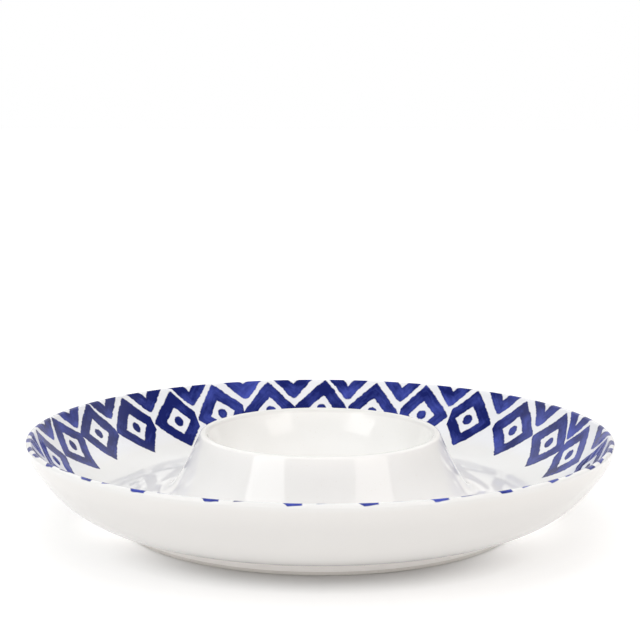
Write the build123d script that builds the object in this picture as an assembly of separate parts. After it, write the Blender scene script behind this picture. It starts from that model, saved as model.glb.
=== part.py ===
from build123d import *
from math import cos, radians, sin, sqrt, tan
import os

# A round stoneware chip and dip server. Its section is drawn in the plane of radius
# and height and turned about the upright axis. Sizes are millimetres over the glaze.
# The origin is the centre of the resting circle on the table, with +Z up the axis.

# Chip bowl
RIM_DIAMETER = 320.0         # outermost, across the rim
BOWL_HEIGHT = 49.0           # resting face to rim crest
RIM_THICKNESS = 3.6          # the rim is a full round this thick
RIM_SLOPE = 61.4             # degrees from level, where the inside meets the rim
WALL = 5.5                   # floor, wall and dip well, over the glaze on both sides
SHOULDER_RADIUS = 27.0       # short arc that turns the outside upright under the rim
FLANK_RADIUS = 107.0         # long arc up the outside of the wall
BELLY_RADIUS = 52.5          # arc from the flat underside up into the flank

# Dip well
TROUGH_WIDTH = 93.5          # level, from the lip's outside to the rim's outside
LIP_THICKNESS = 4.6          # the lip is a full round this thick, as high as the rim
COLLAR_TOP_SLOPE = 68.0      # degrees from level, just under the lip
COLLAR_RADIUS = 170.0        # gentle hollow of the flaring collar
COVE_RADIUS = 18.0           # sweep of the collar into the chip floor
CUP_FLOOR_RADIUS = 16.0      # flat middle of the dip cup
FOLD_RADIUS = 2.0            # round at the top of the hollow behind the lip

# Foot ring
FOOT_STEP = 1.6              # resting face's outside, beyond the flat underside
FOOT_WIDTH = 7.0             # width of the resting face
FOOT_HEIGHT = 6.5            # resting face to underside
FOOT_DRAFT = 8.0             # degrees that both sides of the foot lean
FOOT_EDGE_RADIUS = 0.6       # sponged edges of the resting face

# Glaze
GLAZE = 0.4                  # thickness of each coat
GLAZE_LINE = 2.0             # the foot is bare clay below this height

UNDERSIDE = FOOT_HEIGHT
FLOOR = UNDERSIDE + WALL
PAST_AXIS = -10.0            # the sections run over the axis and are cut off there
BEYOND = RIM_DIAMETER        # a reach that clears the whole server


def facing(slope):
    """The way out and down from a wall that leans outward, as a unit vector."""
    return Vector(sin(radians(slope)), -cos(radians(slope)))


def toward(start, target, distance):
    """The point at a distance from start on the line to target."""
    return start + (target - start).normalized() * distance


def crossing(centre, reach, other, other_reach):
    """The point at both reaches from two centres, to the right of the way between."""
    way = other - centre
    along = (way.length**2 + reach**2 - other_reach**2) / (2 * way.length)
    aside = Vector(way.Y, -way.X).normalized() * sqrt(reach**2 - along**2)
    return toward(centre, other, along) + aside


def arc(centre, start, end):
    """The shorter arc about centre from start to end."""
    middle = toward(centre, (start + end) / 2, (start - centre).length)
    return ThreePointArc(start, middle, end)


def band(inner, outer, low=0.0, high=BEYOND):
    """The part of the section between two radii and two heights."""
    middle = Pos((inner + outer) / 2, (low + high) / 2)
    return middle * Rectangle(outer - inner, high - low)


# Centres of the chip bowl's arcs. The outside runs belly, flank, shoulder, rim, each
# tangent to the next. The inside keeps one wall from belly and flank, and its flank
# runs on to the rim, so the wall thins beside the shoulder.
rim_round = RIM_THICKNESS / 2
rim = Vector(RIM_DIAMETER / 2 - rim_round, BOWL_HEIGHT - rim_round)
flank = rim - facing(RIM_SLOPE) * (FLANK_RADIUS - WALL + rim_round)
shoulder_reach = SHOULDER_RADIUS - rim_round
shoulder = crossing(flank, FLANK_RADIUS - SHOULDER_RADIUS, rim, shoulder_reach)
belly_rise = flank.Y - UNDERSIDE - BELLY_RADIUS
belly_reach = sqrt((FLANK_RADIUS - BELLY_RADIUS) ** 2 - belly_rise**2)
belly = Vector(flank.X + belly_reach, UNDERSIDE + BELLY_RADIUS)

# Centres of the dip well's arcs. The collar hangs from the lip and runs through the
# cove into the chip floor. The cup is one arc from its floor up to the lip.
lip_round = LIP_THICKNESS / 2
lip_radius = RIM_DIAMETER / 2 - TROUGH_WIDTH
lip = Vector(lip_radius - lip_round, BOWL_HEIGHT - lip_round)
collar = lip + facing(180 - COLLAR_TOP_SLOPE) * (COLLAR_RADIUS + lip_round)
cove_drop = collar.Y - FLOOR - COVE_RADIUS
cove_reach = sqrt((COLLAR_RADIUS - COVE_RADIUS) ** 2 - cove_drop**2)
cove = Vector(collar.X - cove_reach, FLOOR + COVE_RADIUS)
cup_across = lip.X - CUP_FLOOR_RADIUS
cup_rise = lip.Y - FLOOR
cup_radius = (cup_across**2 + cup_rise**2 - lip_round**2) / (2 * cup_rise + LIP_THICKNESS)
cup = Vector(CUP_FLOOR_RADIUS, FLOOR + cup_radius)


def outside(inset):
    """The bowl's outside, from past the axis up to the rim, as edges."""
    start = Vector(PAST_AXIS, UNDERSIDE + inset)
    belly_start = Vector(belly.X, UNDERSIDE + inset)
    flank_start = toward(flank, belly, FLANK_RADIUS - inset)
    shoulder_start = toward(flank, shoulder, FLANK_RADIUS - inset)
    end = toward(shoulder, rim, SHOULDER_RADIUS - inset)
    return [
        Line(start, belly_start),
        arc(belly, belly_start, flank_start),
        arc(flank, flank_start, shoulder_start),
        arc(shoulder, shoulder_start, end),
    ]


def bowl_section(inset):
    """The bowl from rim to axis, drawn in from its glazed faces by inset."""
    outer = outside(inset)
    rim_end = toward(flank, rim, FLANK_RADIUS - WALL + inset)
    flank_foot = toward(flank, belly, FLANK_RADIUS - WALL + inset)
    floor_edge = Vector(belly.X, FLOOR - inset)
    floor_end = Vector(PAST_AXIS, FLOOR - inset)
    inner = [
        arc(rim, outer[-1] @ 1, rim_end),
        arc(flank, rim_end, flank_foot),
        arc(belly, flank_foot, floor_edge),
        Line(floor_edge, floor_end),
        Line(floor_end, outer[0] @ 0),
    ]
    return make_face(outer + inner)


def well_section(inset):
    """The dip well above the middle of the floor, solid under the collar."""
    base = FLOOR - WALL / 2
    cove_foot = Vector(cove.X, base)
    cove_end = Vector(cove.X, FLOOR - inset)
    collar_foot = toward(collar, cove, COLLAR_RADIUS + inset)
    lip_outside = toward(collar, lip, COLLAR_RADIUS + inset)
    lip_inside = toward(cup, lip, cup_radius + inset)
    cup_edge = Vector(cup.X, FLOOR - inset)
    cup_middle = Vector(PAST_AXIS, FLOOR - inset)
    base_middle = Vector(PAST_AXIS, base)
    return make_face(
        [
            Line(base_middle, cove_foot),
            Line(cove_foot, cove_end),
            arc(cove, cove_end, collar_foot),
            arc(collar, collar_foot, lip_outside),
            arc(lip, lip_outside, lip_inside),
            arc(cup, lip_inside, cup_edge),
            Line(cup_edge, cup_middle),
            Line(cup_middle, base_middle),
        ]
    )


def hollow_section(inset):
    """The hollow under the collar, open below, which leaves one wall all round."""
    cup_side = cup_radius + WALL - inset
    collar_side = COLLAR_RADIUS + WALL - inset
    fold = crossing(cup, cup_side, collar, collar_side)
    cup_under = Vector(cup.X, UNDERSIDE + inset)
    cove_under = Vector(cove.X, UNDERSIDE + inset)
    collar_under = toward(collar, cove, collar_side)
    open_outer = Vector(cove.X, 0)
    open_inner = Vector(cup.X, 0)
    hollow = make_face(
        [
            arc(cup, cup_under, fold),
            arc(collar, fold, collar_under),
            arc(cove, collar_under, cove_under),
            Line(cove_under, open_outer),
            Line(open_outer, open_inner),
            Line(open_inner, cup_under),
        ]
    )
    crease = hollow.vertices().sort_by_distance((fold.X, fold.Y))[0]
    return fillet(crease, FOLD_RADIUS + inset)


def dish_section(inset):
    """The whole dish without its foot, drawn in from its glazed faces by inset."""
    dish = bowl_section(inset) + well_section(inset) - hollow_section(inset)
    return dish & band(0, BEYOND)


def foot_section(outset):
    """The foot ring's sides, moved out from its clay, up to inside the floor."""
    lean = FLOOR * tan(radians(FOOT_DRAFT))
    outer = belly.X + FOOT_STEP + outset
    inner = belly.X + FOOT_STEP - FOOT_WIDTH - outset
    corners = [(inner, 0), (outer, 0), (outer + lean, FLOOR), (inner - lean, FLOOR)]
    return make_face(Polyline(*corners, close=True))


def turned(section):
    """The solid that a section makes about the upright axis."""
    return revolve(Plane.XZ * section, Axis.Z)


# The foot's clay is seated on the whole underside, also where that turns up.
under = outside(GLAZE)
above = [
    Line(under[-1] @ 1, (PAST_AXIS, BOWL_HEIGHT)),
    Line((PAST_AXIS, BOWL_HEIGHT), under[0] @ 0),
]
foot = foot_section(0)
foot = fillet(foot.vertices().group_by(Axis.Y)[0], FOOT_EDGE_RADIUS)
foot = foot - make_face(under + above)

# The glaze is what the glazed faces hold beyond the clay, above the glaze line. The
# foot parts it into a large coat and the patch inside the foot.
clay = dish_section(GLAZE)
glazed = (dish_section(0) + foot_section(GLAZE)) & band(0, BEYOND, low=GLAZE_LINE)
patch, coat = (glazed - clay - foot).faces().sort_by(SortBy.AREA)[-2:]

pieces = {
    "chip_bowl": clay & band(cove.X, BEYOND),
    "dip_collar": clay & band(lip.X, cove.X),
    "dip_cup": clay & band(0, lip.X),
    "foot_ring": foot,
    "glaze_coat": coat,
    "underside_glaze": patch,
}

os.makedirs("parts", exist_ok=True)
for name, section in pieces.items():
    export_step(turned(section), f"parts/{name}.step")
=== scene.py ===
import math
import random

import bpy
import bmesh
from mathutils import Euler, Matrix, Vector


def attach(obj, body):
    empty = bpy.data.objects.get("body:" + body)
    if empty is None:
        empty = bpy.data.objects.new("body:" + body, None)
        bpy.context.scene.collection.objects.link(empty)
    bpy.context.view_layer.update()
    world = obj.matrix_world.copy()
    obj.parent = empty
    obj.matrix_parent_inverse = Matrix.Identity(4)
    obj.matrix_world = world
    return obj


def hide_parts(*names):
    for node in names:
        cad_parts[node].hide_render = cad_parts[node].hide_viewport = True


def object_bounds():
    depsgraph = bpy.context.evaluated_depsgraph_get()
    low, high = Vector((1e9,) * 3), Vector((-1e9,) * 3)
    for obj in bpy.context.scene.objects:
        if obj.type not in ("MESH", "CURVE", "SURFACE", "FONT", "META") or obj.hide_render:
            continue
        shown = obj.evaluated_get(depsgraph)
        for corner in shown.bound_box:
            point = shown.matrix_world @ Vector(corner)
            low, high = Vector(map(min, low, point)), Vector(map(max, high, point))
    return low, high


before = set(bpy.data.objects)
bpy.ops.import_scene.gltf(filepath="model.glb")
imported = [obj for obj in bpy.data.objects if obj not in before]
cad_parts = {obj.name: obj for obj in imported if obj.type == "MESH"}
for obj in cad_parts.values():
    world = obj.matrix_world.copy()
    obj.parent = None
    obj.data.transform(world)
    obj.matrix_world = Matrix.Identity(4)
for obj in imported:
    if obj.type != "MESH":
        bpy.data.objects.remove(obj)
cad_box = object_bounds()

MM = 0.001
RIM_RADIUS = cad_box[1][0]
RIM_HEIGHT = cad_box[1][2]


# ---------------------------------------------------------------- node trees

def rgb(red, green, blue):
    return (red, green, blue, 1.0)


class Value:
    """One output in a node tree. Arithmetic on it adds Math nodes to the tree."""

    def __init__(self, graph, socket):
        self.graph = graph
        self.socket = socket

    def __add__(self, other):
        return self.graph.math("ADD", self, other)

    def __radd__(self, other):
        return self.graph.math("ADD", other, self)

    def __sub__(self, other):
        return self.graph.math("SUBTRACT", self, other)

    def __rsub__(self, other):
        return self.graph.math("SUBTRACT", other, self)

    def __mul__(self, other):
        return self.graph.math("MULTIPLY", self, other)

    def __rmul__(self, other):
        return self.graph.math("MULTIPLY", other, self)

    def __truediv__(self, other):
        return self.graph.math("DIVIDE", self, other)

    def __rtruediv__(self, other):
        return self.graph.math("DIVIDE", other, self)

    def __pow__(self, other):
        return self.graph.math("POWER", self, other)

    def __neg__(self):
        return self.graph.math("MULTIPLY", self, -1.0)

    def __abs__(self):
        return self.graph.math("ABSOLUTE", self)


class Graph:
    """A node tree that is written as expressions."""

    def __init__(self, tree):
        self.tree = tree

    def node(self, kind, settings=None, inputs=None, output=0):
        """Adds a node, sets it up, then gives its sockets their values or links."""
        made = self.tree.nodes.new(kind)
        for name, value in (settings or {}).items():
            if name == "stops":
                self.set_stops(made.color_ramp, value)
            elif name == "interpolation":
                made.color_ramp.interpolation = value
            else:
                setattr(made, name, value)
        for name, value in (inputs or {}).items():
            if isinstance(value, Value):
                self.tree.links.new(value.socket, made.inputs[name])
            else:
                made.inputs[name].default_value = value
        return Value(self, made.outputs[output]) if made.outputs else None

    def set_stops(self, ramp, stops):
        """Gives a colour ramp its stops, each a position and a colour."""
        while len(ramp.elements) > 1:
            ramp.elements.remove(ramp.elements[-1])
        ramp.elements[0].position = stops[0][0]
        ramp.elements[0].color = stops[0][1]
        for position, colour in stops[1:]:
            ramp.elements.new(position).color = colour

    def math(self, operation, *values, clamp=False):
        settings = {"operation": operation, "use_clamp": clamp}
        return self.node("ShaderNodeMath", settings, dict(enumerate(values)))

    def split(self, vector):
        """The three numbers of a vector or colour."""
        parts = self.node("ShaderNodeSeparateXYZ", inputs={0: vector})
        return [Value(self, socket) for socket in parts.socket.node.outputs]

    def join(self, x, y, z):
        return self.node("ShaderNodeCombineXYZ", inputs={0: x, 1: y, 2: z})

    def edge(self, distance, softness):
        """0 outside an edge, 1 inside it, from the distance to it."""
        return self.math("ADD", distance / softness, 0.5, clamp=True)

    def ramp(self, distance, rate):
        """0 up to a start, then rising with the distance from it, at a rate, to 1."""
        return self.math("MULTIPLY", distance, rate, clamp=True)

    def bell(self, value, centre, width):
        """1 at a centre, fading to both sides."""
        away = (value - centre) / width
        return self.math("EXPONENT", -(away * away))

    def beyond(self, value, border):
        """0 short of a border, 1 beyond it. A border is a place and its softness."""
        place, softness = border
        return self.edge(value - place, softness)

    def short_of(self, value, border):
        """1 short of a border, 0 beyond it."""
        place, softness = border
        return self.edge(place - value, softness)

    def least_and_more(self, value, levels):
        """The least, and what the value adds to it."""
        least, more = levels
        return value * more + least

    def soft_abs(self, value, rounding):
        """The size of a value without its sign, rounded off where it is small."""
        return self.math("SQRT", value * value + rounding * rounding)

    def from_axis(self, x, y):
        """The distance from the upright axis."""
        return self.math("SQRT", x * x + y * y)

    def mix(self, factor, first, second):
        """A colour between two colours. The Mix node's colour sockets have these numbers."""
        settings = {"data_type": "RGBA"}
        return self.node("ShaderNodeMix", settings, {0: factor, 6: first, 7: second}, output=2)

    def tinted(self, colour, tint):
        """A colour multiplied by a tint."""
        return self.node("ShaderNodeVectorMath", {"operation": "MULTIPLY"}, {0: colour, 1: tint})

    def noise(self, place, scale, detail=2.0, roughness=0.5, output="Fac"):
        """A cloudy value of about 0.5, with a scale in clouds to a metre, or to whatever
        the place is in. The output Color holds three such values."""
        inputs = {"Vector": place, "Scale": scale, "Detail": detail, "Roughness": roughness}
        return self.node("ShaderNodeTexNoise", inputs=inputs, output=output)


def placed(name, data):
    """A new object in the scene."""
    made = bpy.data.objects.new(name, data)
    bpy.context.scene.collection.objects.link(made)
    return made


# ---------------------------------------------------------------- the section
# The same arcs as the solids, in metres, in the plane of radius and height.

WALL = 5.5 * MM
GLAZE = 0.4 * MM
UNDERSIDE = 6.5 * MM
FLOOR = UNDERSIDE + WALL
GLAZE_LINE = 2.0 * MM

RIM_ROUND = 1.8 * MM
RIM_SLOPE = 61.4
SHOULDER_RADIUS = 27.0 * MM
FLANK_RADIUS = 107.0 * MM
BELLY_RADIUS = 52.5 * MM

TROUGH_WIDTH = 93.5 * MM
LIP_ROUND = 2.3 * MM
COLLAR_TOP_SLOPE = 68.0
COLLAR_RADIUS = 170.0 * MM
COVE_RADIUS = 18.0 * MM
CUP_FLOOR_RADIUS = 16.0 * MM
FOLD_RADIUS = 2.0 * MM

FOOT_STEP = 1.6 * MM
FOOT_WIDTH = 7.0 * MM
FOOT_DRAFT = 8.0
FOOT_EDGE_RADIUS = 0.6 * MM

TURN_PER_MM = 4.0                    # degrees of an arc to a millimetre of spacing
SEAT_ROUNDS = 8                      # more than enough for the seat's place to settle


def facing(slope):
    """The way at right angles to a face that slopes up so many degrees, below and outwards."""
    return Vector((math.sin(math.radians(slope)), -math.cos(math.radians(slope))))


def toward(start, target, distance):
    """The point at a distance from a start, on the way to a target."""
    return start + (target - start).normalized() * distance


def crossing(centre, reach, other, other_reach):
    """The point at both reaches from two centres, to the right of the way between."""
    way = other - centre
    along = (way.length**2 + reach**2 - other_reach**2) / (2 * way.length)
    aside = Vector((way.y, -way.x)).normalized() * math.sqrt(reach**2 - along**2)
    return toward(centre, other, along) + aside


rim = Vector((RIM_RADIUS - RIM_ROUND, RIM_HEIGHT - RIM_ROUND))
flank = rim - facing(RIM_SLOPE) * (FLANK_RADIUS - WALL + RIM_ROUND)
shoulder = crossing(flank, FLANK_RADIUS - SHOULDER_RADIUS, rim, SHOULDER_RADIUS - RIM_ROUND)
belly_rise = flank.y - UNDERSIDE - BELLY_RADIUS
belly_reach = math.sqrt((FLANK_RADIUS - BELLY_RADIUS) ** 2 - belly_rise**2)
belly = Vector((flank.x + belly_reach, UNDERSIDE + BELLY_RADIUS))

lip = Vector((RIM_RADIUS - TROUGH_WIDTH - LIP_ROUND, RIM_HEIGHT - LIP_ROUND))
collar = lip + facing(180 - COLLAR_TOP_SLOPE) * (COLLAR_RADIUS + LIP_ROUND)
cove_drop = collar.y - FLOOR - COVE_RADIUS
cove = Vector(
    (collar.x - math.sqrt((COLLAR_RADIUS - COVE_RADIUS) ** 2 - cove_drop**2), FLOOR + COVE_RADIUS)
)
cup_rise = lip.y - FLOOR
cup_across = lip.x - CUP_FLOOR_RADIUS
cup_radius = (cup_across**2 + cup_rise**2 - LIP_ROUND**2) / (2 * cup_rise + 2 * LIP_ROUND)
cup = Vector((CUP_FLOOR_RADIUS, FLOOR + cup_radius))


class Outline:
    """A line through the section, drawn point by point."""

    def __init__(self, start):
        self.points = [start.copy()]

    def line(self, end, spacing):
        start = self.points[-1].copy()
        count = max(1, math.ceil((end - start).length / spacing))
        self.points += [start.lerp(end, (i + 1) / count) for i in range(count)]

    def arc(self, centre, end, spacing):
        """The shorter arc about a centre, to its far end. No step of it is longer than the
        spacing, or turns more than TURN_PER_MM allows."""
        from_centre = self.points[-1] - centre
        radius = from_centre.length
        begin = math.atan2(from_centre.y, from_centre.x)
        sweep = math.atan2(end.y - centre.y, end.x - centre.x) - begin
        sweep = (sweep + math.pi) % (2 * math.pi) - math.pi
        step = min(spacing / radius, math.radians(TURN_PER_MM) * spacing / MM)
        count = max(2, math.ceil(abs(sweep) / step))
        for i in range(1, count + 1):
            angle = begin + sweep * i / count
            self.points.append(centre + Vector((math.cos(angle), math.sin(angle))) * radius)


def foot_side(height, outset, side):
    """The radius of the foot's outer (side 1) or inner (side -1) face at a height."""
    face = belly.x + (FOOT_STEP if side > 0 else FOOT_STEP - FOOT_WIDTH)
    return face + side * (outset + height * math.tan(math.radians(FOOT_DRAFT)))


def seat(outset, inset):
    """Where the foot's outer face runs up into the bowl's underside."""
    height = UNDERSIDE
    for _ in range(SEAT_ROUNDS):
        radius = foot_side(height, outset, 1)
        height = belly.y - math.sqrt((BELLY_RADIUS - inset) ** 2 - max(0.0, radius - belly.x) ** 2)
    return Vector((radius, height))


def glazed_face(inset, spacing):
    """From the middle of the dip cup, over lip and rim, to the glaze line on the foot."""
    path = Outline(Vector((0.0, FLOOR - inset)))
    path.line(Vector((cup.x, FLOOR - inset)), spacing)
    path.arc(cup, toward(cup, lip, cup_radius + inset), spacing)
    path.arc(lip, toward(collar, lip, COLLAR_RADIUS + inset), spacing)
    path.arc(collar, toward(collar, cove, COLLAR_RADIUS + inset), spacing)
    path.arc(cove, Vector((cove.x, FLOOR - inset)), spacing)
    path.line(Vector((belly.x, FLOOR - inset)), spacing)
    path.arc(belly, toward(flank, belly, FLANK_RADIUS - WALL + inset), spacing)
    path.arc(flank, toward(flank, rim, FLANK_RADIUS - WALL + inset), spacing)
    path.arc(rim, toward(shoulder, rim, SHOULDER_RADIUS - inset), spacing)
    path.arc(shoulder, toward(flank, shoulder, FLANK_RADIUS - inset), spacing)
    path.arc(flank, toward(flank, belly, FLANK_RADIUS - inset), spacing)
    outset = GLAZE - inset
    path.arc(belly, seat(outset, inset), spacing)
    path.line(Vector((foot_side(GLAZE_LINE, outset, 1), GLAZE_LINE)), spacing)
    return path.points


def hidden_face(inset, spacing):
    """From the axis under the cup, through the hollow, to the glaze line inside the foot."""
    cup_side = cup_radius + WALL - inset
    collar_side = COLLAR_RADIUS + WALL - inset
    fold = crossing(cup, cup_side + FOLD_RADIUS + inset, collar, collar_side + FOLD_RADIUS + inset)
    path = Outline(Vector((0.0, UNDERSIDE + inset)))
    path.line(Vector((cup.x, UNDERSIDE + inset)), spacing)
    path.arc(cup, toward(cup, fold, cup_side), spacing)
    path.arc(fold, toward(collar, fold, collar_side), spacing)
    path.arc(collar, toward(collar, cove, collar_side), spacing)
    path.arc(cove, Vector((cove.x, UNDERSIDE + inset)), spacing)
    outset = GLAZE - inset
    path.line(Vector((foot_side(UNDERSIDE + inset, outset, -1), UNDERSIDE + inset)), spacing)
    path.line(Vector((foot_side(GLAZE_LINE, outset, -1), GLAZE_LINE)), spacing)
    return path.points


def down_the_wall(points):
    """For each point, the way along the section from the rim's crest, positive inwards."""
    top = max(range(len(points)), key=lambda i: points[i].y if points[i].x > cove.x else 0)
    run = [0.0]
    for before, after in zip(points, points[1:]):
        run.append(run[-1] + (after - before).length)
    return [run[top] - distance for distance in run]


# ---------------------------------------------------------------- turning

WELD = 2e-6                          # metres between points that are one
SHARP = 50.0                         # degrees between faces that meet in an edge


def turning_tree():
    """Geometry Nodes that turn a section about the upright axis."""
    tree = bpy.data.node_groups.new("turning", "GeometryNodeTree")
    face = tree.interface
    face.new_socket("Section", in_out="INPUT", socket_type="NodeSocketGeometry")
    sizes = {}
    for name, kind, value in (
        ("Segments", "NodeSocketInt", 360),
        ("Unevenness", "NodeSocketFloat", 0.0),
        ("Waves per metre", "NodeSocketFloat", 8.0),
        ("Seed", "NodeSocketFloat", 1.0),
        ("Finish", "NodeSocketMaterial", None),
    ):
        socket = face.new_socket(name, in_out="INPUT", socket_type=kind)
        if value is not None:
            socket.default_value = value
        sizes[name] = socket.identifier
    face.new_socket("Turned", in_out="OUTPUT", socket_type="NodeSocketGeometry")

    graph = Graph(tree)
    entry = tree.nodes.new("NodeGroupInput")
    given = {socket.name: Value(graph, socket) for socket in entry.outputs}
    count = graph.node("GeometryNodeAttributeDomainSize", {"component": "MESH"}, {0: given["Section"]})
    last = count - 1.0
    tube = graph.node(
        "GeometryNodeMeshCylinder",
        {"fill_type": "NONE"},
        {"Vertices": given["Segments"], "Side Segments": last, "Radius": 1.0, "Depth": 1.0},
    )
    place = graph.node("GeometryNodeInputPosition")
    x, y, z = graph.split(place)
    step = graph.math("ROUND", (z + 0.5) * last)      # the tube's rings, one to a corner
    corner = graph.node(
        "GeometryNodeSampleIndex",
        {"data_type": "FLOAT_VECTOR", "domain": "POINT"},
        {"Geometry": given["Section"], "Value": place, "Index": step},
    )
    tag = graph.node("GeometryNodeInputNamedAttribute", {"data_type": "FLOAT"}, {"Name": "down"})
    down = graph.node(
        "GeometryNodeSampleIndex",
        {"data_type": "FLOAT", "domain": "POINT"},
        {"Geometry": given["Section"], "Value": tag, "Index": step},
    )
    radius, _, height = graph.split(corner)
    waves = graph.node(
        "ShaderNodeTexNoise",
        {"noise_dimensions": "4D"},
        {
            "Vector": graph.join(x * radius, y * radius, height),
            "W": given["Seed"],
            "Scale": given["Waves per metre"],
            "Detail": 1.0,
        },
    )
    shrink = waves * given["Unevenness"]
    sunk = graph.math("MINIMUM", radius, shrink)
    moved = graph.join(x * (radius - sunk), y * (radius - sunk), height)
    tagged = graph.node(
        "GeometryNodeStoreNamedAttribute",
        {"data_type": "FLOAT", "domain": "POINT"},
        {"Geometry": tube, "Name": "down", "Value": down},
    )
    shaped = graph.node("GeometryNodeSetPosition", inputs={"Geometry": tagged, "Position": moved})
    welded = graph.node("GeometryNodeMergeByDistance", inputs={"Geometry": shaped, "Distance": WELD})
    real = graph.node("GeometryNodeRealizeInstances", inputs={0: welded})
    done = graph.node("GeometryNodeSetMaterial", inputs={"Geometry": real, "Material": given["Finish"]})
    leave = tree.nodes.new("NodeGroupOutput")
    tree.links.new(done.socket, leave.inputs[0])
    return tree, sizes


turning, turning_sizes = turning_tree()


def turn(name, section, down, material, **sizes):
    """A closed solid turned from a section, as a plain mesh with its faces outwards."""
    mesh = bpy.data.meshes.new(name + "_section")
    corners = [(point.x, 0.0, point.y) for point in section]
    mesh.from_pydata(corners, [(i, i + 1) for i in range(len(corners) - 1)], [])
    mesh.attributes.new("down", "FLOAT", "POINT").data.foreach_set("value", down)
    drawn = placed(name + "_section", mesh)
    modifier = drawn.modifiers.new("turning", "NODES")
    modifier.node_group = turning
    modifier[turning_sizes["Finish"]] = material
    for size, value in sizes.items():
        modifier[turning_sizes[size]] = value
    graph = bpy.context.evaluated_depsgraph_get()
    turned = bpy.data.meshes.new_from_object(
        drawn.evaluated_get(graph), preserve_all_data_layers=True, depsgraph=graph
    )
    drawn.modifiers.remove(modifier)
    bpy.data.objects.remove(drawn)
    while turned.materials[0] is None:
        turned.materials.pop(index=0)

    work = bmesh.new()
    work.from_mesh(turned)
    bmesh.ops.recalc_face_normals(work, faces=work.faces)
    work.to_mesh(turned)
    work.free()
    turned.shade_smooth()
    turned.set_sharp_from_angle(angle=math.radians(SHARP))
    turned.name = name
    return placed(name, turned)


# ---------------------------------------------------------------- the painted band
# Places round the wall are in degrees from the far side, positive to the right. Places down
# the wall are in millimetres from the rim's crest, along the section.

MOTIFS = 27
PITCH = 360.0 / MOTIFS
FIRST = 0.4                          # the place of the first diamond
BAND_RADIUS = 146.0                  # millimetres
GIRTH = BAND_RADIUS * math.pi / 180.0      # millimetres round the wall to a degree

# The painter's spacing wandered by a few degrees: place, width and most of each drift.
DRIFTS = ((120.0, 22.0, 4.3), (-75.0, 30.0, 2.2))

# Of each diamond: degrees off its drifting place, millimetres down to its middle, and
# degrees that it leans. The others are drawn by chance between the limits.
DIAMOND_LIMITS = ((-0.3, 0.3), (20.8, 23.2), (-7.0, 7.0))
DIAMONDS = {
    -6: (0.3, 20.8, -10.0),
    -5: (0.1, 20.2, 10.0),
    -4: (0.6, 22.7, -1.0),
    -3: (1.1, 23.7, 2.5),
    -2: (0.8, 21.8, -8.0),
    -1: (0.3, 22.0, 0.0),
    0: (0.0, 21.3, 6.0),
    1: (-0.6, 22.4, 3.0),
    2: (-0.9, 21.8, -4.0),
    3: (-1.4, 21.5, 1.0),
    4: (-0.3, 22.6, -1.5),
    5: (0.5, 23.0, 0.5),
    6: (-1.5, 24.0, 0.5),
}
# Of each chevron after a diamond: degrees off its drifting place, millimetres down to its
# point, and millimetres down to the point of its notch.
CHEVRON_LIMITS = ((-0.4, 0.4), (12.8, 14.6), (2.8, 4.8))
CHEVRONS = {
    -13: (-0.2, 13.8, 3.8),
    -12: (0.7, 13.2, 3.2),
    -11: (0.0, 13.6, 3.6),
    -7: (0.3, 12.4, 2.6),
    -6: (0.1, 12.6, 2.6),
    -5: (0.4, 13.4, 4.3),
    -4: (0.8, 14.3, 4.4),
    -3: (0.1, 14.2, 4.4),
    -2: (0.9, 12.7, 2.2),
    -1: (-0.2, 13.4, 3.2),
    0: (-0.3, 14.4, 4.6),
    1: (-0.6, 14.1, 4.2),
    2: (-1.0, 14.0, 3.4),
    3: (-0.5, 14.3, 4.3),
    4: (-0.3, 16.2, 5.6),
    5: (-0.4, 16.9, 7.2),
    9: (0.8, 13.8, 3.6),
    10: (0.9, 14.2, 4.0),
    11: (1.1, 13.6, 3.4),
    12: (0.0, 14.0, 4.2),
    13: (-0.8, 13.4, 3.4),
}
HAND_SEED = 11
# The tables go into colours, as parts of these spans from 0 to 1.
OFF_SPAN = 10.0                      # -5 to 5 degrees
DEEP_SPAN = 40.0                     # 0 to 40 millimetres
LEAN_SPAN = 40.0                     # -20 to 20 degrees

# Diamonds and dots, in millimetres from the middle of a diamond.
DIAMOND_ACROSS = 18.2
DIAMOND_DOWN = 21.1
DIAMOND_SQUARE = 13.3                # square to a side
DIAMOND_OPENING = 0.475              # of the diamond's own size
DIAMOND_ROUNDING = 0.02              # of the diamond's own size
DOT_ACROSS = 3.1
DOT_DOWN = 3.6
DOT_SQUARE = 3.2

# Chevrons, in millimetres from their middle line.
CHEVRON_ACROSS = 12.0
CHEVRON_ROUNDING = 2.0
CHEVRON_MEETING = 1.19               # where the sides would meet, in depths of the round point
CHEVRON_SQUARE = 0.8                 # from a distance across to one square to a side
NOTCH_ACROSS = 3.4
NOTCH_SQUARE = 0.75

# Where a chevron's strokes start, in millimetres beyond the crest.
START = 1.05
START_SLANT = 0.14
START_RAGGED = 2.5
START_ON_FLANKS = 0.9
FLANKS = (114.0, 12.0)               # place and width of both flanks

# The hand's tremble and sway: clouds to a metre, and millimetres.
TREMBLE_SCALE = 420.0
TREMBLE = 1.5
SWAY_SCALE = 110.0
SWAY = 1.6

# Where the brush was freshly laden: broader strokes, darker blue.
LADEN_PLACE = -46.0
BROAD_WIDTH = 20.0
BROAD_CHEVRON = 2.0
BROAD_DIAMOND = 0.6                  # of what a chevron gains
LADEN_WIDTH = 15.0

# Borders are a place and its softness, here in millimetres.
BAND_TOP = (-2.2, 0.6)
BAND_FOOT = (55.0, 1.0)
STROKE_SOFTNESS = 0.45
STROKE_INSIDE = (0.9, 1.6)
CHEVRON_LOW = (8.0, 9.0)
CHEVRON_LOW_SOFTNESS = 1.0
OVER_CREST = (0.2, 1.4)

# The brush's streaks run along the strokes, so they change quickly across them. Each
# diamond has its own.
STREAKS_ACROSS = 9.0
STREAKS_ALONG = 2.0
STREAKS_APART = 3.1
STREAKS_DEEP = 0.05

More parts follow.
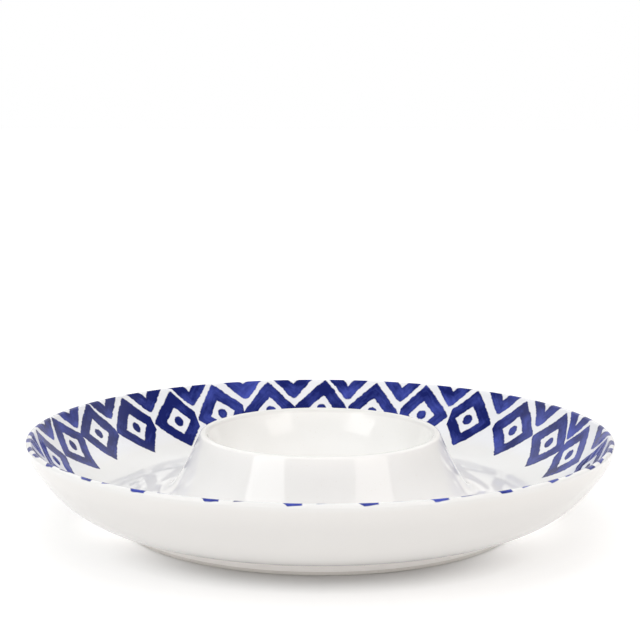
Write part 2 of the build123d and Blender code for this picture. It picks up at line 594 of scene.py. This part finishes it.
# What thins the blue, which is darkest at 0 and palest at 1.
THIN_EVERYWHERE = 0.13
THIN_CLOUDS = 1.8
THIN_STREAKS = 0.7
THIN_BRUSH_LOAD = 0.5
THIN_LADEN = -0.36
THIN_STROKE_INSIDE = 0.10
THIN_CHEVRON_LOW = 0.45
THIN_OVER_CREST = 0.3


def wavering(table, limits):
    """The table with its gaps filled by a seeded hand."""
    hand = random.Random(HAND_SEED)
    full = {}
    for i in range(MOTIFS):
        key = i if i <= MOTIFS // 2 else i - MOTIFS
        drawn = tuple(hand.uniform(low, high) for low, high in limits)
        full[i] = table.get(key, drawn)
    return full


def lookup(graph, number, rows):
    """The three numbers of one motif, out of a colour ramp with a step for each motif."""
    stops = [(i / MOTIFS, rgb(*rows[i])) for i in range(MOTIFS)]
    step = graph.math("FLOORED_MODULO", number, float(MOTIFS))
    steps = graph.node(
        "ShaderNodeValToRGB",
        {"interpolation": "CONSTANT", "stops": stops},
        {0: (step + 0.5) / float(MOTIFS)},
    )
    return graph.split(steps)


class Spot:
    """A spot on the wall, as the painter's hand took it."""

    def __init__(self, graph, x, y, place, down):
        self.degrees = graph.math("ARCTAN2", x, y) * (180.0 / math.pi)
        self.nearness = graph.math("COSINE", self.degrees * (math.pi / 180.0)) * -1.0
        self.drifted = self.degrees - (self.nearness + 1.0)
        for centre, width, most in DRIFTS:
            self.drifted = self.drifted - graph.bell(self.degrees, centre, width) * most
        self.turns = (self.drifted - FIRST) / PITCH

        tremble = graph.noise(place, scale=TREMBLE_SCALE, roughness=0.6, output="Color")
        tremble_x, tremble_y, _ = graph.split(tremble)
        sway = graph.noise(place, scale=SWAY_SCALE, detail=1.0, output="Color")
        sway_x, sway_y, self.sway_z = graph.split(sway)
        self.aside = (tremble_x - 0.5) * TREMBLE + (sway_x - 0.5) * SWAY
        self.lower = (tremble_y - 0.5) * TREMBLE + (sway_y - 0.5) * SWAY
        self.down = down
        self.under = down + self.lower
        self.broad = graph.bell(self.degrees, LADEN_PLACE, BROAD_WIDTH) * BROAD_CHEVRON


def diamonds(graph, spot):
    """The diamonds and dots as millimetres inside their edge, and a place in their streaks."""
    number = graph.math("ROUND", spot.turns)
    rows = {
        i: (off / OFF_SPAN + 0.5, deep / DEEP_SPAN, lean / LEAN_SPAN + 0.5)
        for i, (off, deep, lean) in wavering(DIAMONDS, DIAMOND_LIMITS).items()
    }
    off, deep, lean = lookup(graph, number, rows)
    middle = number * PITCH + FIRST + (off - 0.5) * OFF_SPAN
    across = (spot.drifted - middle) * GIRTH + spot.aside
    below = spot.down - deep * DEEP_SPAN + spot.lower
    angle = (lean - 0.5) * math.radians(LEAN_SPAN)
    cosine = graph.math("COSINE", angle)
    sine = graph.math("SINE", angle)
    u = (across * cosine + below * sine) / (spot.broad * BROAD_DIAMOND + DIAMOND_ACROSS)
    v = (below * cosine - across * sine) / DIAMOND_DOWN
    outer = graph.soft_abs(u, DIAMOND_ROUNDING) + graph.soft_abs(v, DIAMOND_ROUNDING)
    to_outside = (1.0 - outer) * DIAMOND_SQUARE
    to_opening = (outer - DIAMOND_OPENING) * DIAMOND_SQUARE
    ring = graph.math("MINIMUM", to_outside, to_opening)
    dot_off = graph.math("SQRT", (across / DOT_ACROSS) ** 2.0 + (below / DOT_DOWN) ** 2.0)
    dot = (1.0 - dot_off) * DOT_SQUARE

    across_stroke = outer * STREAKS_ACROSS + number * STREAKS_APART
    along_stroke = (abs(u) - abs(v)) * STREAKS_ALONG
    streak_place = graph.join(across_stroke, along_stroke, spot.under * STREAKS_DEEP)
    return graph.math("MAXIMUM", ring, dot), streak_place


def chevrons(graph, spot):
    """The notched chevrons as millimetres inside their edge."""
    number = graph.math("FLOOR", spot.turns)
    rows = {
        i: (off / OFF_SPAN + 0.5, point / DEEP_SPAN, notch / DEEP_SPAN)
        for i, (off, point, notch) in wavering(CHEVRONS, CHEVRON_LIMITS).items()
    }
    off, point, notch = lookup(graph, number, rows)
    middle = (number + 0.5) * PITCH + FIRST + (off - 0.5) * OFF_SPAN
    beside = (spot.drifted - middle) * GIRTH + spot.aside
    inside = graph.math("MAXIMUM", spot.under, 0.0)
    outside = graph.math("MAXIMUM", -spot.under, 0.0)
    narrowing = inside / (point * (DEEP_SPAN * CHEVRON_MEETING))
    width = (spot.broad + CHEVRON_ACROSS) * (1.0 - narrowing) - outside
    v_shape = (width - graph.soft_abs(beside, CHEVRON_ROUNDING)) * CHEVRON_SQUARE
    notch_width = NOTCH_ACROSS * (1.0 - inside / (notch * DEEP_SPAN))
    cut = (abs(beside) - notch_width) * NOTCH_SQUARE
    slanting = beside * graph.math("MAXIMUM", spot.nearness, 0.0)
    on_flanks = graph.bell(abs(spot.degrees), *FLANKS) * START_ON_FLANKS
    ragged = (spot.sway_z - 0.5) * START_RAGGED
    start = spot.down + START + on_flanks + slanting * START_SLANT + ragged
    return graph.math("MINIMUM", graph.math("MINIMUM", v_shape, cut), start)


def blue_wash(graph, spot, place, shape, chevron, streak_place):
    """How thin the blue lies, from 0 for the darkest to 1 for the palest."""
    clouds = graph.noise(place, scale=75.0, detail=3.0, roughness=0.55)
    streaks = graph.noise(streak_place, scale=1.0, detail=3.0)
    brush_load = graph.noise(place, scale=16.0, detail=0.0)
    laden = graph.bell(spot.degrees, LADEN_PLACE, LADEN_WIDTH)
    stroke_inside = graph.beyond(shape, STROKE_INSIDE)
    chevron_low = graph.beyond(spot.under, CHEVRON_LOW) * graph.edge(chevron, CHEVRON_LOW_SOFTNESS)
    over_crest = graph.short_of(spot.down, OVER_CREST)
    thin = (clouds - 0.5) * THIN_CLOUDS + (streaks - 0.5) * THIN_STREAKS
    thin = thin + (brush_load - 0.5) * THIN_BRUSH_LOAD + laden * THIN_LADEN
    thin = thin + stroke_inside * THIN_STROKE_INSIDE + chevron_low * THIN_CHEVRON_LOW
    thin = thin + over_crest * THIN_OVER_CREST + THIN_EVERYWHERE
    return graph.math("ADD", thin, 0.0, clamp=True)


def painted_band(graph, x, y, place, down):
    """How much of the blue lies on the wall, and how thin it lies."""
    spot = Spot(graph, x, y, place, down)
    diamond, streak_place = diamonds(graph, spot)
    chevron = chevrons(graph, spot)
    shape = graph.math("MAXIMUM", diamond, chevron)
    on_wall = graph.beyond(down, BAND_TOP) * graph.short_of(down, BAND_FOOT)
    paint = graph.edge(shape, STROKE_SOFTNESS) * on_wall
    return paint, blue_wash(graph, spot, place, shape, chevron, streak_place)


# ---------------------------------------------------------------- finishes

THIN_WHITE = rgb(0.712, 0.699, 0.677)
POOLED_WHITE = rgb(0.738, 0.731, 0.715)
# Painted shade: a darker white on the crests of rim and lip, which catch the most light.
CREST_PAINTED_SHADE_WHITE = rgb(0.600, 0.591, 0.575)
# Painted shade and painted light: the outside's white is darker high up and paler low down, where the
# belly faces the shaded floor.
HIGH_OUTER_PAINTED_SHADE_WHITE = rgb(0.650, 0.637, 0.620)
LOW_OUTER_PAINTED_LIGHT_WHITE = rgb(0.785, 0.770, 0.752)
# Painted light: a near-white on the low foot, which stands in the floor's shade.
FOOT_PAINTED_LIGHT_WHITE = rgb(0.96, 0.935, 0.915)
GLAZE_FLECK = rgb(0.62, 0.56, 0.47)
DARK_BLUE = rgb(0.0060, 0.0115, 0.105)
PALE_BLUE = rgb(0.060, 0.084, 0.400)

# The white is multiplied by these, by place: painted light and shade in cup, collar and wall, and a
# cooler white in the band.
HIGH_CUP_PAINTED_LIGHT = rgb(1.035, 1.045, 1.05)
LOW_CUP_PAINTED_SHADE = rgb(0.97, 0.975, 0.97)
COLLAR_PAINTED_LIGHT = rgb(1.085, 1.09, 1.085)
WALL_PAINTED_SHADE = rgb(0.93, 0.943, 0.955)
BAND_TINT = rgb(0.95, 0.975, 1.035)

# Borders between the tones of the white, most of which are painted light and shade: by height,
# by distance from the axis, and by millimetres down the wall.
FOOT_PAINTED_LIGHT_BORDER = (8.5 * MM, 3.0 * MM)
LOW_CUP = (24.0 * MM, 12.0 * MM)
RIM_CREST = (46.0 * MM, 4.0 * MM)
LIP_CREST = (47.4 * MM, 2.0 * MM)
COLLAR_STARTS = (64.5 * MM, 4.0 * MM)
LIP_ENDS = (65.2 * MM, 1.6 * MM)
RIM_REGION = (100.0 * MM, 2.0 * MM)
WALL_STARTS = (105.0 * MM, 12.0 * MM)
BAND_REGION_TOP = (0.0, 1.5)
BAND_REGION_FOOT = (36.0, 8.0)
OUTSIDE = (-4.0, 3.0)
OUTER_PAINTED_LIGHT_HEIGHT = 40.0 * MM        # painted light pales the outside below this height
OUTER_PAINTED_LIGHT_RATE = 30.0

# The first two are shares: of painted shade on the rim's crest, and of the outside's painted light and
# shade.
RIM_CREST_PAINTED_SHADE = 0.15
OUTER_LIGHT_AND_SHADE_SHARE = 0.85
FLECK_TONE = 0.25
POOLING = 1.4
GLAZE_IOR = 1.5
GLAZE_FLECKS = (0.735, 0.03)         # only the peaks of a fine noise are flecks
GLAZE_WAVES = 0.6 * MM
GLAZE_WAVE_STRENGTH = 0.35
GLAZE_PEEL = 0.02                    # of its waves

# The dark and the pale colour of a clay, and how much its iron specks show.
FOOT_CLAY = (rgb(0.70, 0.67, 0.63), rgb(0.80, 0.78, 0.75), 0.1)
BODY_CLAY = (rgb(0.46, 0.42, 0.36), rgb(0.60, 0.55, 0.48), 0.6)
CLAY_IOR = 1.45
CLAY_CLOUDS = 0.6
CLAY_GRAIN = 0.4
GRAIN_HEIGHT = 0.2 * MM
GRAIN_STRENGTH = 0.5
IRON = rgb(0.16, 0.10, 0.06)
IRON_SPECKS = (0.70, 0.04)

# Roughness: the least, and what wear or grain adds.
GLAZE_ROUGHNESS = (0.03, 0.04)
UNDERSIDE_ROUGHNESS = (0.10, 0.08)
CLAY_ROUGHNESS = (0.72, 0.2)


def finish(name):
    """A new material and the graph of its nodes."""
    material = bpy.data.materials.new(name)
    material.use_nodes = True
    material.node_tree.nodes.clear()
    return material, Graph(material.node_tree)


def surface(graph, fixed, varying):
    """The shader: fixed settings on its own sockets, varying ones from the nodes."""
    shader = graph.node("ShaderNodeBsdfPrincipled", inputs={**fixed, **varying})
    graph.node("ShaderNodeOutputMaterial", inputs={0: shader})


def object_place(graph):
    """Where a point lies on its piece, in metres."""
    return graph.node("ShaderNodeTexCoord", output="Object")


def glaze_white(graph, place):
    """White glaze that pools a little unevenly, with faint warm flecks, and painted shade on the crests
    of rim and lip, which catch the most light.
    """
    cloud = graph.noise(place, scale=22.0, detail=3.0)
    white = graph.mix(graph.ramp(cloud, POOLING), THIN_WHITE, POOLED_WHITE)
    fleck = graph.beyond(graph.noise(place, scale=900.0, detail=1.0), GLAZE_FLECKS)
    flecked = graph.mix(fleck * FLECK_TONE, white, GLAZE_FLECK)
    x, y, z = graph.split(place)
    away = graph.from_axis(x, y)
    # Painted shade on the rim's crest and on the lip's crest.
    rim_painted_shade = graph.beyond(z, RIM_CREST) * graph.beyond(away, RIM_REGION) * RIM_CREST_PAINTED_SHADE
    lip_painted_shade = graph.beyond(z, LIP_CREST) * graph.short_of(away, LIP_ENDS)
    return graph.mix(rim_painted_shade + lip_painted_shade, flecked, CREST_PAINTED_SHADE_WHITE)


def white_with_painted_light_and_shade(graph, place, z, away, down):
    """The white of the large glaze coat, by place, with painted light and shade in cup, collar, wall,
    outside and foot.
    """
    # Painted light high in the cup and on the collar, painted shade low in the cup and on the bowl's
    # inner wall.
    cup_light_and_shade = graph.mix(graph.short_of(z, LOW_CUP), HIGH_CUP_PAINTED_LIGHT, LOW_CUP_PAINTED_SHADE)
    well_light_and_shade = graph.mix(graph.beyond(away, COLLAR_STARTS), cup_light_and_shade, COLLAR_PAINTED_LIGHT)
    inner_light_and_shade = graph.mix(graph.beyond(away, WALL_STARTS), well_light_and_shade, WALL_PAINTED_SHADE)
    in_band = graph.beyond(down, BAND_REGION_TOP) * graph.short_of(down, BAND_REGION_FOOT)
    tint = graph.mix(in_band, inner_light_and_shade, BAND_TINT)
    inner_white = graph.tinted(glaze_white(graph, place), tint)
    # The outside's white: painted shade high up, painted light towards the foot.
    outer_painted_light = graph.ramp(OUTER_PAINTED_LIGHT_HEIGHT - z, OUTER_PAINTED_LIGHT_RATE) ** 2.0
    outer_painted_white = graph.mix(outer_painted_light, HIGH_OUTER_PAINTED_SHADE_WHITE, LOW_OUTER_PAINTED_LIGHT_WHITE)
    outside = graph.short_of(down, OUTSIDE) * OUTER_LIGHT_AND_SHADE_SHARE
    white = graph.mix(outside, inner_white, outer_painted_white)
    # Painted light on the foot, below this height.
    return graph.mix(graph.short_of(z, FOOT_PAINTED_LIGHT_BORDER), white, FOOT_PAINTED_LIGHT_WHITE)


def glaze_skin_bump(graph, place):
    """The slow waves and fine peel of a fired glaze, for its reflections."""
    slow = graph.noise(place, scale=26.0, detail=1.0)
    peel = graph.noise(place, scale=420.0, detail=1.0)
    height = slow + peel * GLAZE_PEEL
    inputs = {"Strength": GLAZE_WAVE_STRENGTH, "Distance": GLAZE_WAVES, "Height": height}
    return graph.node("ShaderNodeBump", inputs=inputs)


def white_glaze():
    """The glaze over the inside, the rim and the outside, with the blue band in it."""
    material, graph = finish("white_glaze_with_blue_band")
    place = object_place(graph)
    x, y, z = graph.split(place)
    away = graph.from_axis(x, y)
    down = graph.node("ShaderNodeAttribute", {"attribute_name": "down"}, output="Fac") * (1.0 / MM)
    paint, thin = painted_band(graph, x, y, place, down)
    blue = graph.mix(thin, DARK_BLUE, PALE_BLUE)
    worn = graph.noise(place, scale=60.0, detail=2.0)
    varying = {
        "Base Color": graph.mix(paint, white_with_painted_light_and_shade(graph, place, z, away, down), blue),
        "Roughness": graph.least_and_more(worn, GLAZE_ROUGHNESS),
        "Normal": glaze_skin_bump(graph, place),
    }
    surface(graph, {"IOR": GLAZE_IOR}, varying)
    return material


def underside_glaze():
    """The glaze inside the foot ring, a little rougher."""
    material, graph = finish("underside_white_glaze")
    place = object_place(graph)
    worn = graph.noise(place, scale=90.0, detail=2.0)
    varying = {
        "Base Color": glaze_white(graph, place),
        "Roughness": graph.least_and_more(worn, UNDERSIDE_ROUGHNESS),
        "Normal": glaze_skin_bump(graph, place),
    }
    surface(graph, {"IOR": GLAZE_IOR}, varying)
    return material


def bare_stoneware(name, dark, pale, speckled):
    """Fired clay between a dark and a pale colour, with iron specks."""
    material, graph = finish(name)
    place = object_place(graph)
    grain = graph.noise(place, scale=1500.0, detail=3.0, roughness=0.7)
    cloud = graph.noise(place, scale=40.0, detail=3.0)
    iron = graph.beyond(graph.noise(place, scale=700.0, detail=1.0), IRON_SPECKS)
    clay = graph.mix(cloud * CLAY_CLOUDS + grain * CLAY_GRAIN, dark, pale)
    relief = {"Strength": GRAIN_STRENGTH, "Distance": GRAIN_HEIGHT, "Height": grain}
    varying = {
        "Base Color": graph.mix(iron * speckled, clay, IRON),
        "Roughness": graph.least_and_more(grain, CLAY_ROUGHNESS),
        "Normal": graph.node("ShaderNodeBump", inputs=relief),
    }
    surface(graph, {"IOR": CLAY_IOR}, varying)
    return material


glaze_finish = white_glaze()
underside_finish = underside_glaze()
foot_finish = bare_stoneware("bare_stoneware_foot", *FOOT_CLAY)
body_finish = bare_stoneware("stoneware_body", *BODY_CLAY)


# ---------------------------------------------------------------- the pieces

UNPAINTED = -0.1                     # a way down that is far from the band, in metres
FACE_SPACING = 2.2 * MM
BACK_SPACING = 8.0 * MM
UNDER_FACE_SPACING = 2.0 * MM
UNDER_BACK_SPACING = 6.0 * MM
FOOT_SPACING = 2.0 * MM
GLAZE_TURNING = {"Segments": 432, "Unevenness": 0.12 * MM, "Seed": 3.0}

outer_points = glazed_face(0.0, FACE_SPACING)
inner_points = glazed_face(GLAZE, BACK_SPACING)
skin_section = outer_points + inner_points[::-1]
skin_down = down_the_wall(outer_points) + [UNPAINTED] * len(inner_points)
glaze_skin = turn("glaze_skin", skin_section, skin_down, glaze_finish, **GLAZE_TURNING)
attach(glaze_skin, "root")
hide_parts("glaze_coat")

under_outer = hidden_face(0.0, UNDER_FACE_SPACING)
under_inner = hidden_face(GLAZE, UNDER_BACK_SPACING)
under_section = under_outer + under_inner[::-1]
under_down = [UNPAINTED] * len(under_section)
underside_skin = turn("underside_skin", under_section, under_down, underside_finish, Segments=320)
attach(underside_skin, "root")
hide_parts("underside_glaze")


def foot_outline():
    """Round the foot's clay: inner side, resting face with sponged edges, outer side."""
    top = UNDERSIDE + GLAZE
    path = Outline(Vector((foot_side(top, 0.0, -1), top)))
    edge = FOOT_EDGE_RADIUS
    lean = math.radians(FOOT_DRAFT)
    tuck = edge * math.tan((math.pi / 2 - lean) / 2)
    for side in (-1, 1):
        foot = Vector((foot_side(0.0, 0.0, side), 0.0))
        centre = Vector((foot.x - side * tuck, edge))
        on_side = Vector((centre.x + side * edge * math.cos(lean), centre.y - edge * math.sin(lean)))
        on_rest = Vector((centre.x, 0.0))
        first, second = (on_side, on_rest) if side < 0 else (on_rest, on_side)
        path.line(first, FOOT_SPACING)
        path.arc(centre, second, FOOT_SPACING)
    path.line(seat(0.0, GLAZE), FOOT_SPACING)
    path.line(path.points[0], FOOT_SPACING)
    return path.points


foot_points = foot_outline()
foot = turn("foot", foot_points, [UNPAINTED] * len(foot_points), foot_finish, Segments=360)
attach(foot, "root")
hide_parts("foot_ring")

node_finishes = {
    "chip_bowl": body_finish,
    "dip_collar": body_finish,
    "dip_cup": body_finish,
    "glaze_coat": underside_finish,
    "underside_glaze": underside_finish,
    "foot_ring": foot_finish,
}
for node, coat in node_finishes.items():
    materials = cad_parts[node].data.materials
    materials.clear()
    materials.append(coat)


# ---------------------------------------------------------------- the floor

FLOOR_REACH = 12.0
FLOOR_TONES = (rgb(0.69, 0.69, 0.685), rgb(0.71, 0.71, 0.71))
FLOOR_ROUGHNESS = (0.75, 0.1)
FLOOR_IOR = 1.45

# Steps of the floor's glow: metres from the axis where each starts, rate, and strength.
FOOT_STEP_UP = (0.110, 36.0, 0.28)
BELLY_STEP_DOWN = (0.145, 28.0, -0.12)
BEYOND_RIM_STEP = (0.17, 2.0, 0.40)
FAR_STEP = (1.2, 0.6, 0.20)
# At both sides it fades from the foot outwards instead.
SIDE_STARTS = 0.112
SIDE_FADE_RATE = -50.0
SIDE_FADE = 0.38
SIDE_LEAST = 0.25
SIDE_SHARPNESS = 4.0
OPEN_FLOOR = (0.1085, 0.004)         # the border of the dark floor under the foot


def glow_step(graph, away, step):
    """What one step adds to the glow at a distance from the axis."""
    start, rate, strength = step
    return graph.ramp(away - start, rate) * strength


def floor_finish():
    """Pale paper with a faint glow of its own, which opens the shadow round the server."""
    material, graph = finish("pale_floor")
    place = object_place(graph)
    cloud = graph.noise(place, scale=3.0, detail=2.0)
    x, y, _ = graph.split(place)
    away = graph.from_axis(x, y)
    in_front = glow_step(graph, away, FOOT_STEP_UP) + glow_step(graph, away, BELLY_STEP_DOWN)
    fading = graph.math("EXPONENT", graph.math("MAXIMUM", away - SIDE_STARTS, 0.0) * SIDE_FADE_RATE)
    at_side = fading * SIDE_FADE + SIDE_LEAST
    sideways = graph.math("POWER", abs(x) / away, SIDE_SHARPNESS)
    near = (in_front + (at_side - in_front) * sideways) * graph.beyond(away, OPEN_FLOOR)
    glow = near + glow_step(graph, away, BEYOND_RIM_STEP) + glow_step(graph, away, FAR_STEP)
    varying = {
        "Base Color": graph.mix(cloud, *FLOOR_TONES),
        "Roughness": graph.least_and_more(cloud, FLOOR_ROUGHNESS),
        "Emission Color": graph.join(glow, glow, glow),
    }
    surface(graph, {"IOR": FLOOR_IOR, "Emission Strength": 1.0}, varying)
    return material


floor_corners = [(-1, -1), (1, -1), (1, 1), (-1, 1)]
floor_mesh = bpy.data.meshes.new("floor")
floor_mesh.from_pydata(
    [(x * FLOOR_REACH, y * FLOOR_REACH, 0.0) for x, y in floor_corners], [], [(0, 1, 2, 3)]
)
floor_mesh.materials.append(floor_finish())
floor = placed("floor", floor_mesh)


# ---------------------------------------------------------------- the lights

LAMP_DISTANCE = 1.3
LAMP_TARGET = Vector((0.0, 0.0, 0.03))
WHITE_LIGHT = (1.0, 1.0, 1.0)
CREAM_LIGHT = (1.0, 0.99, 0.98)
WARM_LIGHT = (1.0, 0.94, 0.90)

# Of each soft light: azimuth, 0 in front and positive to the right, elevation, width and
# height in metres, watts, colour, and whether the glaze mirrors it.
LAMPS = {
    "left_softbox": (-50.0, 34.0, 0.65, 0.50, 2.45, WHITE_LIGHT, True),
    "left_panel": (-84.0, 31.0, 1.00, 0.60, 3.6, WHITE_LIGHT, False),
    "right_softbox": (50.0, 34.0, 0.65, 0.50, 2.0, WARM_LIGHT, True),
    "right_panel": (84.0, 34.0, 1.00, 0.60, 3.5, WARM_LIGHT, False),
    "overhead_fill": (180.0, 78.0, 1.60, 1.60, 13.6, WHITE_LIGHT, False),
    "front_fill": (0.0, 55.0, 1.60, 0.90, 5.9, CREAM_LIGHT, False),
}


def softbox(name, azimuth, elevation, width, height, watts, colour, mirrored):
    """A soft light that faces the server."""
    around = math.radians(azimuth)
    up = math.radians(elevation)
    way = Vector((math.sin(around) * math.cos(up), -math.cos(around) * math.cos(up), math.sin(up)))
    light = bpy.data.lights.new(name, "AREA")
    light.shape = "RECTANGLE"
    light.size = width
    light.size_y = height
    light.energy = watts
    light.color = colour
    lamp = placed(name, light)
    lamp.location = LAMP_TARGET + way * LAMP_DISTANCE
    lamp.rotation_euler = way.to_track_quat("Z", "Y").to_euler()
    lamp.visible_camera = False
    lamp.visible_glossy = mirrored


for name, settings in LAMPS.items():
    softbox(name, *settings)


# ---------------------------------------------------------------- the room
# What the glaze mirrors where there is no lamp. Heights are the sine of the angle above
# level, and rates are how fast one tone turns into the next.

PAPER = rgb(1.0, 1.0, 1.0)
CEILING = rgb(0.12, 0.12, 0.13)
CORNICE = rgb(1.02, 1.02, 1.01)
END_WALLS = rgb(0.78, 0.765, 0.74)
LEFT_WALL = rgb(0.26, 0.26, 0.26)
RIGHT_WALL = rgb(0.12, 0.115, 0.11)
SKIRTING = rgb(3.9, 3.77, 3.68)

CORNICE_TOP = 0.62
CORNICE_RISE_BEHIND = 0.35
CORNICE_RATE = 3.5
WALL_TOP = 0.55
WALL_RATE = 4.0
SKIRTING_TOP = 0.16
SKIRTING_RATE = 8.0
SIDE_WALL_SHARPNESS = 1.5
RIGHT_WALL_RATE = 1.6


def room():
    """The studio's walls, brightest low in front. Paper white where it is seen straight on."""
    world = bpy.data.worlds.new("studio")
    world.use_nodes = True
    world.node_tree.nodes.clear()
    graph = Graph(world.node_tree)
    x, y, z = graph.split(graph.node("ShaderNodeTexCoord", output="Generated"))
    behind = graph.math("MAXIMUM", y, 0.0)
    front = graph.math("MAXIMUM", -y, 0.0)
    below_ceiling = graph.ramp(CORNICE_TOP - z + behind * CORNICE_RISE_BEHIND, CORNICE_RATE)
    above = graph.mix(below_ceiling, CEILING, CORNICE)
    side_wall = graph.mix(graph.ramp(x, RIGHT_WALL_RATE), LEFT_WALL, RIGHT_WALL)
    walls = graph.mix(graph.math("POWER", abs(x), SIDE_WALL_SHARPNESS), END_WALLS, side_wall)
    around = graph.mix(graph.ramp(WALL_TOP - z, WALL_RATE), above, walls)
    by_skirting = graph.ramp(SKIRTING_TOP - z, SKIRTING_RATE) * front
    light = graph.mix(by_skirting, around, SKIRTING)
    straight_on = graph.node("ShaderNodeLightPath")
    shown = graph.mix(straight_on, light, PAPER)
    background = graph.node("ShaderNodeBackground", inputs={"Color": shown, "Strength": 1.0})
    graph.node("ShaderNodeOutputWorld", inputs={0: background})
    return world


bpy.context.scene.world = room()


# ---------------------------------------------------------------- the camera

CAMERA_DISTANCE = 0.8610
CAMERA_ASIDE = -0.0003
CAMERA_ELEVATION = 12.037
CAMERA_PITCH = 7.986
CAMERA_ROLL = 0.192
LENS_LENGTH = 87.66                  # millimetres, as is the sensor's width
SENSOR_WIDTH = 36.0

lens = bpy.data.cameras.new("camera")
lens.lens = LENS_LENGTH
lens.sensor_width = SENSOR_WIDTH
camera = placed("camera", lens)
up = math.radians(CAMERA_ELEVATION)
back = CAMERA_DISTANCE * math.cos(up)
camera.location = (CAMERA_ASIDE, -back, RIM_HEIGHT + CAMERA_DISTANCE * math.sin(up))
tilt = Euler((math.radians(90.0 - CAMERA_PITCH), 0.0, 0.0)).to_matrix()
roll = Matrix.Rotation(math.radians(CAMERA_ROLL), 3, "Z")
camera.rotation_euler = (tilt @ roll).to_euler()
bpy.context.scene.camera = camera
bpy.context.scene.view_settings.view_transform = "Standard"
